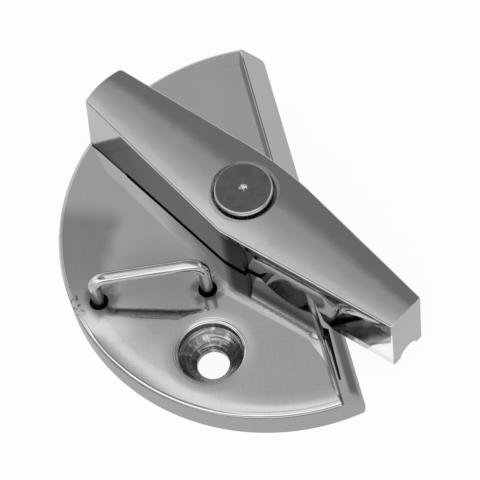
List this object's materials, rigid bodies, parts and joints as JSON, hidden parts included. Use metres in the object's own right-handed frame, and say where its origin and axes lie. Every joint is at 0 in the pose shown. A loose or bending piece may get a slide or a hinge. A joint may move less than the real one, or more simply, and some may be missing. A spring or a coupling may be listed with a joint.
{
  "type": "twist lock latch",
  "caption": "Twist lock latch: a long hooked lever turns on a headed pin over a half-disc base plate with sunk screw holes, and a wire staple stands beside it.",
  "frame": {"origin": "midway between the screw holes, on the underside of the base plate", "axes": "+X square to the plate's straight edge, towards the keeper; +Y along that edge; +Z out of the plate, towards the lever"},
  "size_m": [0.0646, 0.0854, 0.0216],
  "materials": {
    "cast_plate": "polished cast stainless steel with fine brushing and a matt rim",
    "cast_lever": "polished cast stainless steel",
    "turned_pin": "turned stainless steel, satin",
    "wire": "drawn stainless wire, bright",
    "washer": "plain stainless steel"
  },
  "bodies": {
    "plate": {"base_plate": "cast_plate", "pivot_pin": "turned_pin", "thrust_washer": "washer", "disc_spring": "washer", "back_washer": "washer", "staple": "wire"},
    "lever": {"lever": "cast_lever"}
  },
  "joints": [
    {"name": "lever_turn", "type": "hinge", "parent": "plate", "child": "lever", "pos_m": [0.0137, 0, 0.0145], "axis": [0, 0, 1], "range_deg": [0, 56]}
  ]
}
